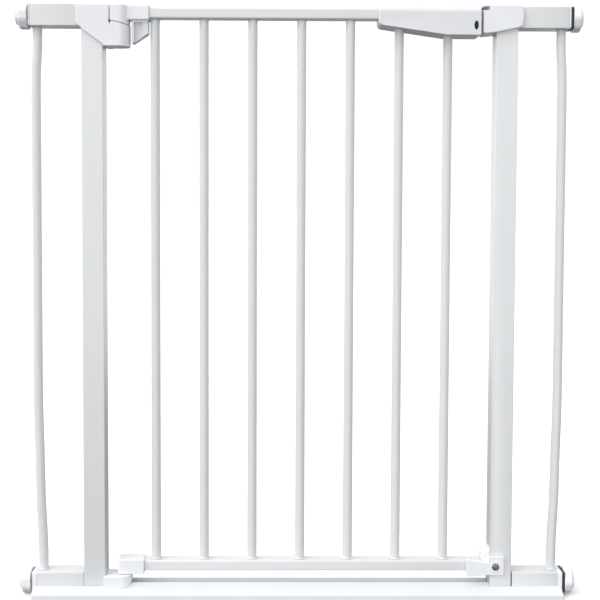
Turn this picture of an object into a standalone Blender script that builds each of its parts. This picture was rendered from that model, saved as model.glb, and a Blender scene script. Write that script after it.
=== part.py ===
"""Pressure-fit safety gate with a swing door, one extension on each side and four tension spindles.

Lengths in this file are millimetres and become metres when a part is added to the scene.
X runs along the gate, Y through it (the door opens towards +Y) and Z up from the floor.
"""
import math

import bmesh
import bpy
from mathutils import Vector

MM = 0.001
GAP = 0.3                      # air left between pieces that touch on the real gate

# --- frame -------------------------------------------------------------------------------------
POST_IN, POST_OUT = 251.8, 279.8        # inner and outer face of each post, as |x|
POST_DEPTH = 15.0                       # half depth of posts and extension tubes
POST_LOW, POST_HIGH = 3.3, 764.0
WALL = 1.4                              # wall of the steel tubes
TUBE_TALL = 14.0                        # half height of an extension tube
TOP_TUBE_Z, LOW_TUBE_Z = 753.6, 17.3    # centre lines of the extension tubes
TUBE_IN = 280.1                         # inner end of the extension tubes, as |x|
TUBE_END = {"top": 345.0, "low": 341.0}
CORNER_R = 1.2                          # corner radius of posts and extension tubes
BASE_BAR_DEPTH, BASE_BAR_LOW, BASE_BAR_HIGH = 7.5, 3.3, 9.7

# --- threshold ---------------------------------------------------------------------------------
SILL_HALF, SILL_DEPTH = 346.0, 30.0
SILL_LIP, SILL_SHOULDER = 6.1, 13.3     # height of the lip and of the ramp where it meets a post
SILL_FLOOR = 3.0                        # thickness under the tubes

# --- tension sets ------------------------------------------------------------------------------
STACK = {                               # |x| of flange end, washer faces and knob faces
    "left_top": (347.0, 347.3, 348.3, 348.6, 360.6),
    "left_low": (347.5, 347.8, 349.4, 349.7, 361.7),
    "right_top": (347.5, 347.8, 350.9, 351.2, 362.0),
    "right_low": (347.5, 347.8, 350.9, 351.2, 362.0),
}
PAD_OUT, PAD_R = 364.5, 11.0            # wall face of the pads and their radius
KNOB_FLAT, KNOB_ROUND = 16.55, 8.0      # half width across flats, corner radius
SPINDLE_R, SPINDLE_IN = 4.0, 292.0

# --- hinge -------------------------------------------------------------------------------------
AXIS_X = -230.5                         # the door's hinge axis, at y = 0
BARREL_R = 12.2
BARREL_FRONT = 19.0                     # how far the lower barrel bulges to the front
UPPER_R, UPPER_FRONT = 11.7, 18.7       # the same for the upper barrel, which turns with the door
SEAM_Z, SEAM_SLOPE = 744.0, 0.238       # inclined face that lifts the door as it opens
HOUSING_FRONT, HOUSING_BACK = 19.0, 17.0
HOUSING_TOP = 766.7
PIN_R, BORE_R = 4.0, 4.3

# --- door --------------------------------------------------------------------------------------
RAIL_DEPTH = 10.0
RAIL_TOP = (750.4, 764.5)
RAIL_LOW = (31.7, 45.6)
BAR_R, BAR_COUNT, BAR_FIRST, BAR_PITCH = 6.0, 7, -186.7, 63.0
RAIL_TOP_ENDS = (-210.0, 200.0)
RAIL_LOW_ENDS = (-214.0, 239.4)

# --- handle and latch --------------------------------------------------------------------------
HANDLE_DEPTH, HANDLE_TOP = 22.0, 766.0
HANDLE_START, HANDLE_END = 100.5, 231.0
HANDLE_SCREWS = ((111.0, 747.5), (206.0, 738.0))
INDICATOR, INDICATOR_SIZE = (224.7, 742.2), (2.6, 5.6)   # centre and half axes of the oval window
BOLT = (212.0, 243.4, 6.0, 747.0, 757.0)     # x ends, half depth, z span
STEM = (214.0, 220.0, 3.0)                   # thumb slide's stem: x span and half depth
LATCH_TRAVEL = 10.0
STRIKE_DEPTH, STRIKE_TOP = 20.0, 768.1
STRIKE_SCREW = (262.0, 750.0)

# --- lower door stop ---------------------------------------------------------------------------
STOP_FRONT, STOP_FACE = 19.0, 10.7      # front of the plate and the face that meets the door rail
STOP_SCREW = (258.7, 39.8)
STOP_FILLET = 9.7                       # radius of the hollow between the stop and the post

SLOTS = {   # colour, roughness, metallic
    "painted_steel": ((0.86, 0.87, 0.88), 0.35, 0.0),
    "white_plastic": ((0.84, 0.84, 0.87), 0.45, 0.0),
    "sill_paint": ((0.88, 0.89, 0.90), 0.40, 0.0),
    "zinc_steel": ((0.62, 0.63, 0.65), 0.35, 1.0),
    "black_plastic": ((0.03, 0.032, 0.036), 0.55, 0.0),
    "grey_rubber": ((0.30, 0.31, 0.32), 0.80, 0.0),
    "green_plastic": ((0.03, 0.13, 0.09), 0.30, 0.0),
}


# --- mesh helpers ------------------------------------------------------------------------------
def place(u, v, w, axis):
    """A point with (u, v) across and w along the axis, with u and v in X, Y, Z order."""
    return {"X": (w, u, v), "Y": (u, w, v), "Z": (u, v, w)}[axis]


def rounded(half_u, half_v, radius, centre=(0.0, 0.0), steps=4):
    """Outline of a rounded rectangle."""
    corners = ((1, 1), (-1, 1), (-1, -1), (1, -1))
    points = []
    for quarter, (su, sv) in enumerate(corners):
        for k in range(steps + 1):
            a = math.radians(90 * (quarter + k / steps))
            points.append((centre[0] + su * (half_u - radius) + radius * math.cos(a),
                           centre[1] + sv * (half_v - radius) + radius * math.sin(a)))
    return points


def circle(radius, centre=(0.0, 0.0), steps=32):
    return [(centre[0] + radius * math.cos(2 * math.pi * k / steps),
             centre[1] + radius * math.sin(2 * math.pi * k / steps)) for k in range(steps)]


def octagon(flat, corner, centre, turn=0.0, steps=4):
    """Octagon with rounded corners; flat is half the width across flats."""
    reach = (flat - corner) / math.cos(math.pi / 8)
    points = []
    for side in range(8):
        mid = turn + math.pi / 8 + side * math.pi / 4
        for k in range(steps + 1):
            a = mid - math.pi / 8 + math.pi / 4 * k / steps
            points.append((centre[0] + reach * math.cos(mid) + corner * math.cos(a),
                           centre[1] + reach * math.sin(mid) + corner * math.sin(a)))
    return points


def close(bm):
    bmesh.ops.remove_doubles(bm, verts=bm.verts, dist=0.002)
    bmesh.ops.recalc_face_normals(bm, faces=bm.faces)
    if bm.calc_volume(signed=True) < 0.0:
        bmesh.ops.reverse_faces(bm, faces=bm.faces)
    return bm


def loft(rings, axis):
    """Closed body through rings of equal point count; each ring is (outline, position along axis)."""
    bm = bmesh.new()
    loops = [[bm.verts.new(place(u, v, w, axis)) for u, v in outline] for outline, w in rings]
    count = len(loops[0])
    for lower, upper in zip(loops, loops[1:]):
        for k in range(count):
            n = (k + 1) % count
            bm.faces.new((lower[k], lower[n], upper[n], upper[k]))
    bm.faces.new(loops[0])
    bm.faces.new(loops[-1])
    return close(bm)


def prism(outline, axis, low, high):
    return loft(((outline, low), (outline, high)), axis)


def scaled(outline, centre, amount):
    """The outline moved inwards by about amount, for a chamfered end."""
    result = []
    for u, v in outline:
        du, dv = u - centre[0], v - centre[1]
        far = math.hypot(du, dv)
        result.append((u - du / far * amount, v - dv / far * amount))
    return result


def pill(outline, centre, axis, low, high, chamfer):
    """A prism with both rims eased."""
    small, mid = scaled(outline, centre, chamfer), scaled(outline, centre, chamfer * 0.3)
    return loft(((small, low), (mid, low + chamfer * 0.3), (outline, low + chamfer),
                 (outline, high - chamfer), (mid, high - chamfer * 0.3), (small, high)), axis)


def tube(outer, inner, axis, low, high):
    """An open-ended tube; both outlines have the same number of points."""
    bm = bmesh.new()
    loops = [[bm.verts.new(place(u, v, w, axis)) for u, v in outline]
             for w in (low, high) for outline in (outer, inner)]
    count = len(outer)
    for a, b in ((0, 2), (2, 3), (3, 1), (1, 0)):
        for k in range(count):
            n = (k + 1) % count
            bm.faces.new((loops[a][k], loops[a][n], loops[b][n], loops[b][k]))
    return close(bm)


def box(low, high):
    return prism([(low[0], low[1]), (high[0], low[1]), (high[0], high[1]), (low[0], high[1])],
                 "Z", low[2], high[2])


def rod(radius, centre, axis, low, high, steps=32):
    return prism(circle(radius, centre, steps), axis, low, high)


def sweep(points, radius, steps=20):
    """A round bar along points whose ends are cut level."""
    bm = bmesh.new()
    loops = []
    last = len(points) - 1
    for i, point in enumerate(points):
        ahead = Vector(points[min(i + 1, last)]) - Vector(points[max(i - 1, 0)])
        level = Vector((0, 0, math.copysign(1.0, ahead.z)))
        along = level if i in (0, last) else ahead.normalized()
        side = Vector((1, 0, 0))
        side = (side - along * side.dot(along)).normalized()
        other = along.cross(side)
        loops.append([bm.verts.new(Vector(point) + radius * (math.cos(a) * side + math.sin(a) * other))
                      for a in (2 * math.pi * k / steps for k in range(steps))])
    for lower, upper in zip(loops, loops[1:]):
        for k in range(steps):
            n = (k + 1) % steps
            bm.faces.new((lower[k], lower[n], upper[n], upper[k]))
    bm.faces.new(loops[0])
    bm.faces.new(loops[-1])
    return close(bm)


def temporary(bm, name):
    mesh = bpy.data.meshes.new(name)
    bm.to_mesh(mesh)
    bm.free()
    obj = bpy.data.objects.new(name, mesh)
    bpy.context.scene.collection.objects.link(obj)
    return obj


def combine(base, tool, operation):
    """Boolean of two closed bodies, returned as a new body."""
    first, second = temporary(base, "work_a"), temporary(tool, "work_b")
    step = first.modifiers.new("step", "BOOLEAN")
    step.operation, step.solver, step.object = operation, "EXACT", second
    graph = bpy.context.evaluated_depsgraph_get()
    mesh = bpy.data.meshes.new_from_object(first.evaluated_get(graph))
    result = bmesh.new()
    result.from_mesh(mesh)
    for obj in (first, second):
        data = obj.data
        bpy.data.objects.remove(obj)
        bpy.data.meshes.remove(data)
    bpy.data.meshes.remove(mesh)
    bmesh.ops.remove_doubles(result, verts=result.verts, dist=0.002)
    bmesh.ops.dissolve_limit(result, angle_limit=0.002, verts=result.verts, edges=result.edges)
    return result


def cut(base, *tools):
    for tool in tools:
        base = combine(base, tool, "DIFFERENCE")
    return base


def join(base, *tools):
    for tool in tools:
        base = combine(base, tool, "UNION")
    return base


def slant(bm, height, keep_below):
    """Keep what lies below (or above) the hinge's inclined face."""
    far = 60.0
    corners = []
    for x in (AXIS_X - far, AXIS_X + far):
        corners.append((x, height - SEAM_SLOPE * (x - AXIS_X)))
    edge = 900.0 if keep_below else 600.0
    outline = [corners[0], corners[1], (AXIS_X + far, edge), (AXIS_X - far, edge)]
    return cut(bm, prism(outline, "Y", -far, far))


materials = {}


def add(name, bm, slot, origin=(0.0, 0.0, 0.0)):
    """Turn a body in millimetres into a named object whose origin is at origin."""
    shift = Vector(origin)
    for vert in bm.verts:
        vert.co = (vert.co - shift) * MM
    mesh = bpy.data.meshes.new(name)
    bm.to_mesh(mesh)
    bm.free()
    mesh.shade_smooth()
    mesh.set_sharp_from_angle(angle=math.radians(32))
    mesh.materials.append(materials[slot])
    obj = bpy.data.objects.new(name, mesh)
    obj.location = shift * MM
    bpy.context.scene.collection.objects.link(obj)
    return obj


def make_materials():
    for name, (colour, roughness, metallic) in SLOTS.items():
        mat = bpy.data.materials.new(name)
        mat.use_nodes = True
        shader = mat.node_tree.nodes["Principled BSDF"]
        shader.inputs["Base Color"].default_value = (*colour, 1.0)
        shader.inputs["Roughness"].default_value = roughness
        shader.inputs["Metallic"].default_value = metallic
        mat.diffuse_color = (*colour, 1.0)
        materials[name] = mat


def mirrored(x, side):
    return (x, -x)[side < 0]


def span(low, high, side):
    """An |x| span as ascending x values on the given side."""
    return (low, high) if side > 0 else (-high, -low)


# --- frame pieces ------------------------------------------------------------------------------
def post_cutter(side, clearance=GAP):
    """The room that a post and its top extension tube take inside a housing."""
    low, high = span(POST_IN - clearance, POST_OUT + 0.1, side)
    depth = POST_DEPTH + clearance
    well = box((low, -depth, 600.0), (high, depth, POST_HIGH + clearance))
    low, high = span(POST_OUT - 0.2, POST_OUT + 40.0, side)
    outside = box((low, -depth, 600.0), (high, 60.0, 820.0))
    return well, outside


def add_posts():
    mid = (POST_IN + POST_OUT) / 2
    half = (POST_OUT - POST_IN) / 2
    for side, word in ((-1, "left"), (1, "right")):
        centre = (mirrored(mid, side), 0.0)
        body = tube(rounded(half, POST_DEPTH, CORNER_R, centre),
                    rounded(half - WALL, POST_DEPTH - WALL, 0.6, centre), "Z", POST_LOW, POST_HIGH)
        for z in (LOW_TUBE_Z, TOP_TUBE_Z - 4.0):
            low, high = span(POST_OUT - 5.0, POST_OUT + 5.0, side)
            body = cut(body, rod(5.3, (0.0, z), "X", low, high))
        if side > 0:
            body = cut(body, rod(2.5, STOP_SCREW, "Y", -20.0, -10.0, 20))
        add(word + "_post", body, "painted_steel")


def add_base():
    centre = (0.0, (BASE_BAR_LOW + BASE_BAR_HIGH) / 2)
    half = (BASE_BAR_HIGH - BASE_BAR_LOW) / 2
    add("base_bar", tube(rounded(BASE_BAR_DEPTH, half, 1.2, centre),
                         rounded(BASE_BAR_DEPTH - WALL, half - WALL, 0.4, centre),
                         "X", -POST_IN + GAP, POST_IN - GAP), "painted_steel")
    rise = (SILL_SHOULDER - SILL_LIP) / (SILL_DEPTH - POST_DEPTH)
    inner = BASE_BAR_DEPTH + GAP
    crest = SILL_LIP + rise * (SILL_DEPTH - inner)
    half = [(SILL_DEPTH, 0.8), (SILL_DEPTH, SILL_LIP - 1.2), (SILL_DEPTH - 1.2, SILL_LIP),
            (inner + 1.0, crest), (inner, crest - 0.8), (inner, SILL_FLOOR)]
    outline = [(SILL_DEPTH - 0.8, 0.0)] + half
    outline += [(-y, z) for y, z in reversed(half)] + [(-(SILL_DEPTH - 0.8), 0.0)]
    body = prism(outline, "X", -SILL_HALF, SILL_HALF)
    for side in (-1, 1):
        low, high = span(POST_IN - GAP, SILL_HALF + 5.0, side)
        body = cut(body, box((low, -POST_DEPTH - GAP, SILL_FLOOR), (high, POST_DEPTH + GAP, 40.0)))
    add("threshold", body, "sill_paint")


BAR_PATH = ((739.3, 338.0), (715.0, 338.2), (690.0, 339.6), (668.0, 340.3), (640.0, 340.4),
            (450.0, 340.4), (255.0, 340.4), (222.0, 339.8), (190.0, 339.0), (155.0, 338.4),
            (123.0, 337.8), (95.0, 336.4), (70.0, 335.4), (50.0, 335.0), (31.6, 335.0))


def add_extensions():
    for side, word in ((-1, "left"), (1, "right")):
        for z, level in ((TOP_TUBE_Z, "top"), (LOW_TUBE_Z, "low")):
            low, high = span(TUBE_IN, TUBE_END[level], side)
            outer = rounded(POST_DEPTH, TUBE_TALL, CORNER_R, (0.0, z))
            inner = rounded(POST_DEPTH - WALL, TUBE_TALL - WALL, 0.6, (0.0, z))
            body = join(tube(outer, inner, "X", low, high), *spigot(side, z))
            add(f"{word}_{level}_tube", body, "painted_steel")
            add_plug(side, z, TUBE_END[level], STACK[f"{word}_{level}"][0], f"{word}_{level}_plug")
        path = [(mirrored(x, side), 0.0, z) for z, x in BAR_PATH]
        add(word + "_extension_bar", sweep(path, BAR_R), "painted_steel")


def add_plug(side, z, tube_end, flange_end, name):
    """A flanged plug in the open end of an extension tube, bored for the spindle."""
    low, high = span(tube_end + GAP, flange_end, side)
    flange = pill(rounded(POST_DEPTH, TUBE_TALL, 2.4, (0.0, z)), (0.0, z), "X", low, high, 0.5)
    low, high = span(tube_end - 16.0, tube_end + 1.0, side)
    nose = prism(rounded(POST_DEPTH - WALL - GAP, TUBE_TALL - WALL - GAP, 0.8, (0.0, z)), "X", low, high)
    low, high = span(300.0, 360.0, side)
    add(name, cut(join(flange, nose), rod(BORE_R, (0.0, z), "X", low, high)), "white_plastic")


def spigot(side, z):
    """Welded end wall of an extension tube, and its round nose that enters the post."""
    low, high = span(TUBE_IN + 0.6, TUBE_IN + 4.0, side)
    wall = prism(rounded(POST_DEPTH - WALL / 2, TUBE_TALL - WALL / 2, 1.6, (0.0, z)), "X", low, high)
    drop = -4.0 if z > 100.0 else 0.0
    low, high = span(POST_OUT - 6.0, TUBE_IN + 2.0, side)
    return wall, rod(5.0, (0.0, z + drop), "X", low, high)


def add_tension_sets():
    for side, word in ((-1, "left"), (1, "right")):
        for z, level in ((TOP_TUBE_Z, "top"), (LOW_TUBE_Z, "low")):
            tag = f"{word}_{level}"
            washer_in, washer_out, knob_in, knob_out = STACK[tag][1:]
            turn = 0.0 if side < 0 else math.pi / 8
            low, high = span(washer_in, washer_out, side)
            ring = cut(prism(rounded(POST_DEPTH, TUBE_TALL, 2.4, (0.0, z)), "X", low, high),
                       rod(BORE_R, (0.0, z), "X", low - 5, high + 5))
            add(tag + "_washer", ring, "black_plastic" if side > 0 else "grey_rubber")
            low, high = span(knob_in, knob_out, side)
            start = (mirrored(knob_in, side), 0.0, z)
            knob = pill(octagon(KNOB_FLAT, KNOB_ROUND, (0.0, z), turn), (0.0, z), "X", low, high, 1.2)
            knob = cut(knob, rod(BORE_R, (0.0, z), "X", low - 5, high + 5))
            add(tag + "_knob", knob, "white_plastic", start)
            low, high = span(SPINDLE_IN, knob_out, side)
            add(tag + "_spindle", rod(SPINDLE_R, (0.0, z), "X", low, high, 24), "zinc_steel", start)
            low, high = span(knob_out + GAP, PAD_OUT, side)
            pad = pill(circle(PAD_R, (0.0, z)), (0.0, z), "X", low, high, 0.5)
            add(tag + "_pad", pad, "grey_rubber", start)


# --- hinge side --------------------------------------------------------------------------------
def barrel(left, radius, front):
    """A hinge barrel's outline: flat to the front left, elliptical to the front right, round behind."""
    quarter = [math.radians(d) for d in range(0, 91, 10)]
    points = [(left, -front)]
    points += [(AXIS_X + radius * math.sin(a), -front * math.cos(a)) for a in quarter]
    return points + [(AXIS_X + radius * math.cos(a), radius * math.sin(a)) for a in quarter[1:]]


def add_hinge_housing():
    left, split = -285.1, -243.2
    outline = [(left + 1.5, HOUSING_TOP), (left, HOUSING_TOP - 1.5), (left, 743.0), (-283.6, 740.4),
               (-280.2, 738.3), (-275.2, 733.2), (-251.0, 715.8), (-248.0, 714.3), (split, 714.1),
               (split, HOUSING_TOP)]
    depth = [(-HOUSING_FRONT, 700.0), (-HOUSING_FRONT, HOUSING_TOP - 2.5),
             (-HOUSING_FRONT + 0.8, HOUSING_TOP - 0.7), (-HOUSING_FRONT + 2.5, HOUSING_TOP),
             (HOUSING_BACK - 2.5, HOUSING_TOP), (HOUSING_BACK, HOUSING_TOP - 2.5), (HOUSING_BACK, 700.0)]
    body = combine(prism(outline, "Y", -30.0, 30.0), prism(depth, "X", -300.0, -200.0), "INTERSECT")
    outline = barrel(split - 6.0, BARREL_R, BARREL_FRONT) + [(split - 6.0, BARREL_R)]
    low_part = slant(prism(outline, "Z", 714.1, 760.0), SEAM_Z - GAP / 2, True)
    body = join(body, low_part)
    body = cut(body, *post_cutter(-1), rod(BORE_R, (AXIS_X, 0.0), "Z", 719.0, 790.0))
    add("hinge_housing", body, "white_plastic")
    add("hinge_pin", pill(circle(PIN_R, (AXIS_X, 0.0)), (AXIS_X, 0.0), "Z", 724.0, 762.0, 0.6),
        "zinc_steel", (AXIS_X, 0.0, SEAM_Z))


DOOR_ORIGIN = (AXIS_X, 0.0, SEAM_Z)


def add_hinge_arm():
    outline = barrel(AXIS_X - UPPER_R, UPPER_R, UPPER_FRONT)
    outline += [(AXIS_X - UPPER_R * math.sin(a), UPPER_R * math.cos(a))
                for a in (math.radians(d) for d in range(10, 91, 10))]
    arm = prism(rounded(11.9, 9.4, 2.0, (0.0, 757.6)), "X", AXIS_X + 2.0, -193.4)
    body = slant(pill(outline, (AXIS_X, 0.0), "Z", 730.0, 766.8, 1.0), SEAM_Z + GAP / 2, False)
    body = join(body, arm)
    body = cut(body, rod(BORE_R, (AXIS_X, 0.0), "Z", 720.0, 763.0),
               box((-210.4, -RAIL_DEPTH - GAP, 750.1), (-190.0, RAIL_DEPTH + GAP, 764.8)))
    add("hinge_arm", body, "white_plastic", DOOR_ORIGIN)
    outline = [(-216.0, 747.9), (-216.0, 718.4), (-214.4, 717.6), (-195.0, 731.4), (-195.0, 747.9)]
    catch = prism(outline, "Y", -9.0, 9.0)
    recess = box((-212.8, -20.0, 700.0), (-202.4, -4.0, 745.5))
    add("hold_open_catch", cut(catch, recess), "white_plastic", DOOR_ORIGIN)


def add_lower_hinge():
    nose, front, back = 12.0, -20.0, 12.0
    outline = [(-253.6, front + 1.5), (-252.1, front), (AXIS_X, front)]
    outline += [(AXIS_X + nose * math.sin(a), front + nose * (1 - math.cos(a)))
                for a in (math.radians(d) for d in range(10, 91, 10))]
    outline += [(AXIS_X + nose * math.cos(a), back * math.sin(a))
                for a in (math.radians(d) for d in range(0, 91, 10))]
    outline += [(-253.6, back)]
    body = prism(outline, "Z", 9.0, 27.3)
    post = box((-300.0, -POST_DEPTH - GAP, -5.0), (-POST_IN + GAP, 40.0, 60.0))
    rise = (SILL_SHOULDER - SILL_LIP) / (SILL_DEPTH - POST_DEPTH)
    shift = GAP + 0.05
    step = BASE_BAR_DEPTH + GAP
    crest = SILL_LIP + rise * (SILL_DEPTH - step) + shift
    ramp = [(-60.0, -5.0), (1.2 - SILL_DEPTH, SILL_LIP + shift), (-step - 1.0, crest),
            (step + 1.0, crest), (SILL_DEPTH - 1.2, SILL_LIP + shift), (60.0, -5.0)]
    body = cut(body, post, prism(ramp, "X", -290.0, -190.0),
               rod(BORE_R, (AXIS_X, 0.0), "Z", -5.0, 40.0))
    add("lower_hinge_bracket", body, "white_plastic")


def add_lower_pivot():
    outline = [(-236.0, -9.0), (-235.0, -11.6), (-232.4, -13.0), (-201.7, -13.0), (-201.7, 13.0),
               (-232.4, 13.0), (-235.0, 11.6), (-236.0, 9.0)]
    cap = pill(outline, (-218.0, 0.0), "Z", 27.9, 47.0, 0.9)
    cap = cut(cap, box((-214.3, -RAIL_DEPTH - GAP, 31.4), (-190.0, RAIL_DEPTH + GAP, 45.9)),
              rod(BORE_R, (AXIS_X, 0.0), "Z", 20.0, 43.0))
    add("pivot_cap", cap, "white_plastic", (AXIS_X, 0.0, 27.9))
    add("lower_pivot_pin", pill(circle(PIN_R, (AXIS_X, 0.0)), (AXIS_X, 0.0), "Z", 19.6, 42.6, 0.6),
        "zinc_steel", (AXIS_X, 0.0, 27.9))


# --- door --------------------------------------------------------------------------------------
def rail(span_z, ends):
    centre = (0.0, (span_z[0] + span_z[1]) / 2)
    half = (span_z[1] - span_z[0]) / 2
    return tube(rounded(RAIL_DEPTH, half, 2.6, centre),
                rounded(RAIL_DEPTH - WALL, half - WALL, 1.2, centre), "X", *ends)


def bar_x(index):
    return BAR_FIRST + BAR_PITCH * index


def add_door():
    add("door_top_rail", rail(RAIL_TOP, RAIL_TOP_ENDS), "painted_steel", DOOR_ORIGIN)
    add("door_low_rail", rail(RAIL_LOW, RAIL_LOW_ENDS), "painted_steel", DOOR_ORIGIN)
    for index in range(BAR_COUNT):
        body = rod(BAR_R, (bar_x(index), 0.0), "Z", RAIL_LOW[1] + GAP, RAIL_TOP[0] - GAP, 24)
        add(f"door_bar_{index + 1}", body, "painted_steel", DOOR_ORIGIN)
    low = RAIL_LOW_ENDS[1]
    centre = (0.0, sum(RAIL_LOW) / 2)
    face = pill(rounded(RAIL_DEPTH, 6.9, 2.6, centre), centre, "X", low + 0.2, low + 1.6, 0.3)
    nose = prism(rounded(RAIL_DEPTH - WALL - GAP, 6.9 - WALL - GAP, 0.8, centre), "X", low - 9.0, low + 0.6)
    add("door_rail_plug", join(face, nose), "white_plastic", DOOR_ORIGIN)


def add_handle():
    start = HANDLE_START
    outline = [(start + 0.6, HANDLE_TOP), (start, 765.0), (start, 751.0), (start + 0.8, 746.9),
               (start + 2.8, 744.0), (107.7, 741.8), (186.0, 730.5), (192.0, 730.2), (HANDLE_END, 730.2),
               (HANDLE_END, HANDLE_TOP)]
    front = prism(outline, "Y", -30.0, 30.0)
    depth = []
    top = 7.5
    for a in (math.radians(d) for d in range(0, 91, 15)):
        depth.append((HANDLE_DEPTH - top + top * math.cos(a), HANDLE_TOP - top + top * math.sin(a)))
    depth += [(-y, z) for y, z in reversed(depth)]
    depth += [(-HANDLE_DEPTH, 733.2), (-HANDLE_DEPTH + 0.9, 731.1), (-HANDLE_DEPTH + 3.0, 730.2),
              (-HANDLE_DEPTH + 3.0, 700.0), (HANDLE_DEPTH - 3.0, 700.0), (HANDLE_DEPTH - 3.0, 730.2),
              (HANDLE_DEPTH - 0.9, 731.1), (HANDLE_DEPTH, 733.2)]
    body = combine(front, prism(depth, "X", 90.0, 240.0), "INTERSECT")
    tail, nose, half, low, high = BOLT
    travel = LATCH_TRAVEL + GAP
    body = cut(
        body,
        box((80.0, -RAIL_DEPTH - GAP, RAIL_TOP[0] - GAP), (RAIL_TOP_ENDS[1] + GAP, RAIL_DEPTH + GAP,
                                                          RAIL_TOP[1] + GAP)),
        box((tail - travel, -half - GAP, low - GAP), (240.0, half + GAP, high + GAP)),
        box((STEM[0] - travel, -STEM[2] - GAP, high - 1.0), (STEM[1] + GAP, STEM[2] + GAP, 790.0)),
        rod(BAR_R + GAP, (bar_x(5), 0.0), "Z", 700.0, RAIL_TOP[0]),
        rod(BAR_R + GAP, (bar_x(6), 0.0), "Z", 700.0, RAIL_TOP[0]),
        prism(oval(INDICATOR_SIZE[0] + 0.2, INDICATOR_SIZE[1] + 0.2, INDICATOR), "Y", -40.0,
              -HANDLE_DEPTH + 1.2),
        *[rod(1.9, (x, z), "Y", 15.0, 40.0, 20) for x, z in HANDLE_SCREWS])
    add("handle", body, "white_plastic", DOOR_ORIGIN)
    window = prism(oval(*INDICATOR_SIZE, INDICATOR), "Y", -HANDLE_DEPTH - 0.2, -HANDLE_DEPTH + 0.9)
    add("lock_indicator", window, "green_plastic", DOOR_ORIGIN)
    for index, (x, z) in enumerate(HANDLE_SCREWS):
        head = screw((x, HANDLE_DEPTH + 0.1, z), 1.6, 3.1, 1.3, 5.0, 1)
        add(f"handle_screw_{index + 1}", head, "zinc_steel", DOOR_ORIGIN)


def oval(half_u, half_v, centre, steps=28):
    return [(centre[0] + half_u * math.cos(a), centre[1] + half_v * math.sin(a))
            for a in (2 * math.pi * k / steps for k in range(steps))]


def screw(seat, shank_r, head_r, head_high, depth, way):
    """A round-headed screw along Y; way is the sign of the direction its head faces."""
    x, y, z = seat
    rings = [(shank_r, -depth), (shank_r, 0.0), (head_r, 0.0), (head_r * 0.96, head_high * 0.45),
             (head_r * 0.78, head_high * 0.85), (head_r * 0.45, head_high)]
    return loft([(circle(r, (x, z), 20), y + way * d) for r, d in rings], "Y")


def add_latch():
    tail, nose, half, low, high = BOLT
    origin = (tail, 0.0, high)
    bolt = pill([(tail, -half), (nose - 5.0, -half), (nose, -half + 2.0), (nose, half), (tail, half)],
                (sum(BOLT[:2]) / 2, 0.0), "Z", low, high, 0.5)
    add("latch_bolt", bolt, "white_plastic", origin)
    outline = [(192.5, 766.4), (192.9, 767.4), (199.0, 770.6), (204.0, 773.4), (206.7, 774.0),
               (209.6, 773.4), (214.0, 771.9), (220.0, 771.6), (232.2, 771.7), (233.3, 770.7),
               (233.3, 766.4)]
    half_depth = [(-9.5, 766.4), (-9.5, 767.4), (-7.6, 769.6), (-3.0, 775.0), (3.0, 775.0),
                  (7.6, 769.6), (9.5, 767.4), (9.5, 766.4)]
    top = combine(prism(outline, "Y", -20.0, 20.0), prism(half_depth, "X", 180.0, 240.0), "INTERSECT")
    stem = box((STEM[0], -STEM[2], high + GAP), (STEM[1], STEM[2], 768.0))
    add("thumb_slide", join(top, stem), "white_plastic", origin)


# --- latch side --------------------------------------------------------------------------------
def add_strike():
    outline = [(234.2, 767.4), (234.9, STRIKE_TOP), (284.0, STRIKE_TOP), (285.1, 767.0), (285.6, 760.0),
               (285.1, 750.2), (283.6, 742.6), (280.8, 740.1), (274.4, 738.8), (252.7, 734.2),
               (238.4, 732.5), (235.6, 732.8), (234.2, 734.4)]
    r = 3.0
    depth = [(-STRIKE_DEPTH, 700.0), (-STRIKE_DEPTH, STRIKE_TOP - r),
             (-STRIKE_DEPTH + 0.3 * r, STRIKE_TOP - 0.3 * r), (-STRIKE_DEPTH + r, STRIKE_TOP)]
    depth += [(-y, z) for y, z in reversed(depth)]
    body = combine(prism(outline, "Y", -30.0, 30.0), prism(depth, "X", 200.0, 300.0), "INTERSECT")
    tail, nose, half, low, high = BOLT
    slot = [(230.0, 761.6), (243.4, 761.6), (244.7, 762.2), (245.4, 763.3), (245.4, 765.0), (244.7, 766.1),
            (243.4, 766.7), (230.0, 766.7)]
    body = cut(body, *post_cutter(1),
               box((230.0, -half - 0.6, low - 1.2), (nose + 1.2, 40.0, high + 1.5)),
               prism(slot, "Y", -30.0, 14.0),
               rod(1.9, STRIKE_SCREW, "Y", 10.0, 40.0, 20))
    add("strike_housing", body, "white_plastic")
    seat = (STRIKE_SCREW[0], STRIKE_DEPTH + 0.1, STRIKE_SCREW[1])
    add("strike_screw", screw(seat, 1.6, 3.1, 1.3, 4.2, 1), "zinc_steel")


def add_lower_stop():
    """A plate in front of the door's lower rail, with a hollow-backed block against the post."""
    plate = [(221.4, 49.2), (220.8, 48.6), (220.8, 28.7), (221.4, 28.1), (249.0, 28.9), (268.4, 28.8),
             (269.4, 29.8), (269.4, 52.5), (268.4, 53.5), (250.4, 53.5), (249.4, 52.5), (249.4, 44.6)]
    left, base = 241.8, 54.3
    block = [(left, 28.9), (POST_IN - GAP, 28.9), (POST_IN - GAP, base + STOP_FILLET)]
    block += [(left + STOP_FILLET * math.sin(a), base + STOP_FILLET * (1 - math.cos(a)))
              for a in (math.radians(d) for d in range(80, -1, -10))]
    body = join(prism(plate, "Y", -STOP_FRONT, -STOP_FACE), prism(block, "Y", -14.0, 13.0))
    post = box((POST_IN - GAP, -POST_DEPTH - GAP, 0.0), (300.0, 40.0, 90.0))
    add("lower_stop", cut(body, post, rod(2.5, STOP_SCREW, "Y", -40.0, 0.0, 20)), "white_plastic")
    x, z = STOP_SCREW
    add("stop_screw", screw((x, -STOP_FRONT - 0.1, z), 2.2, 4.9, 2.2, 7.0, -1), "zinc_steel")


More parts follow.
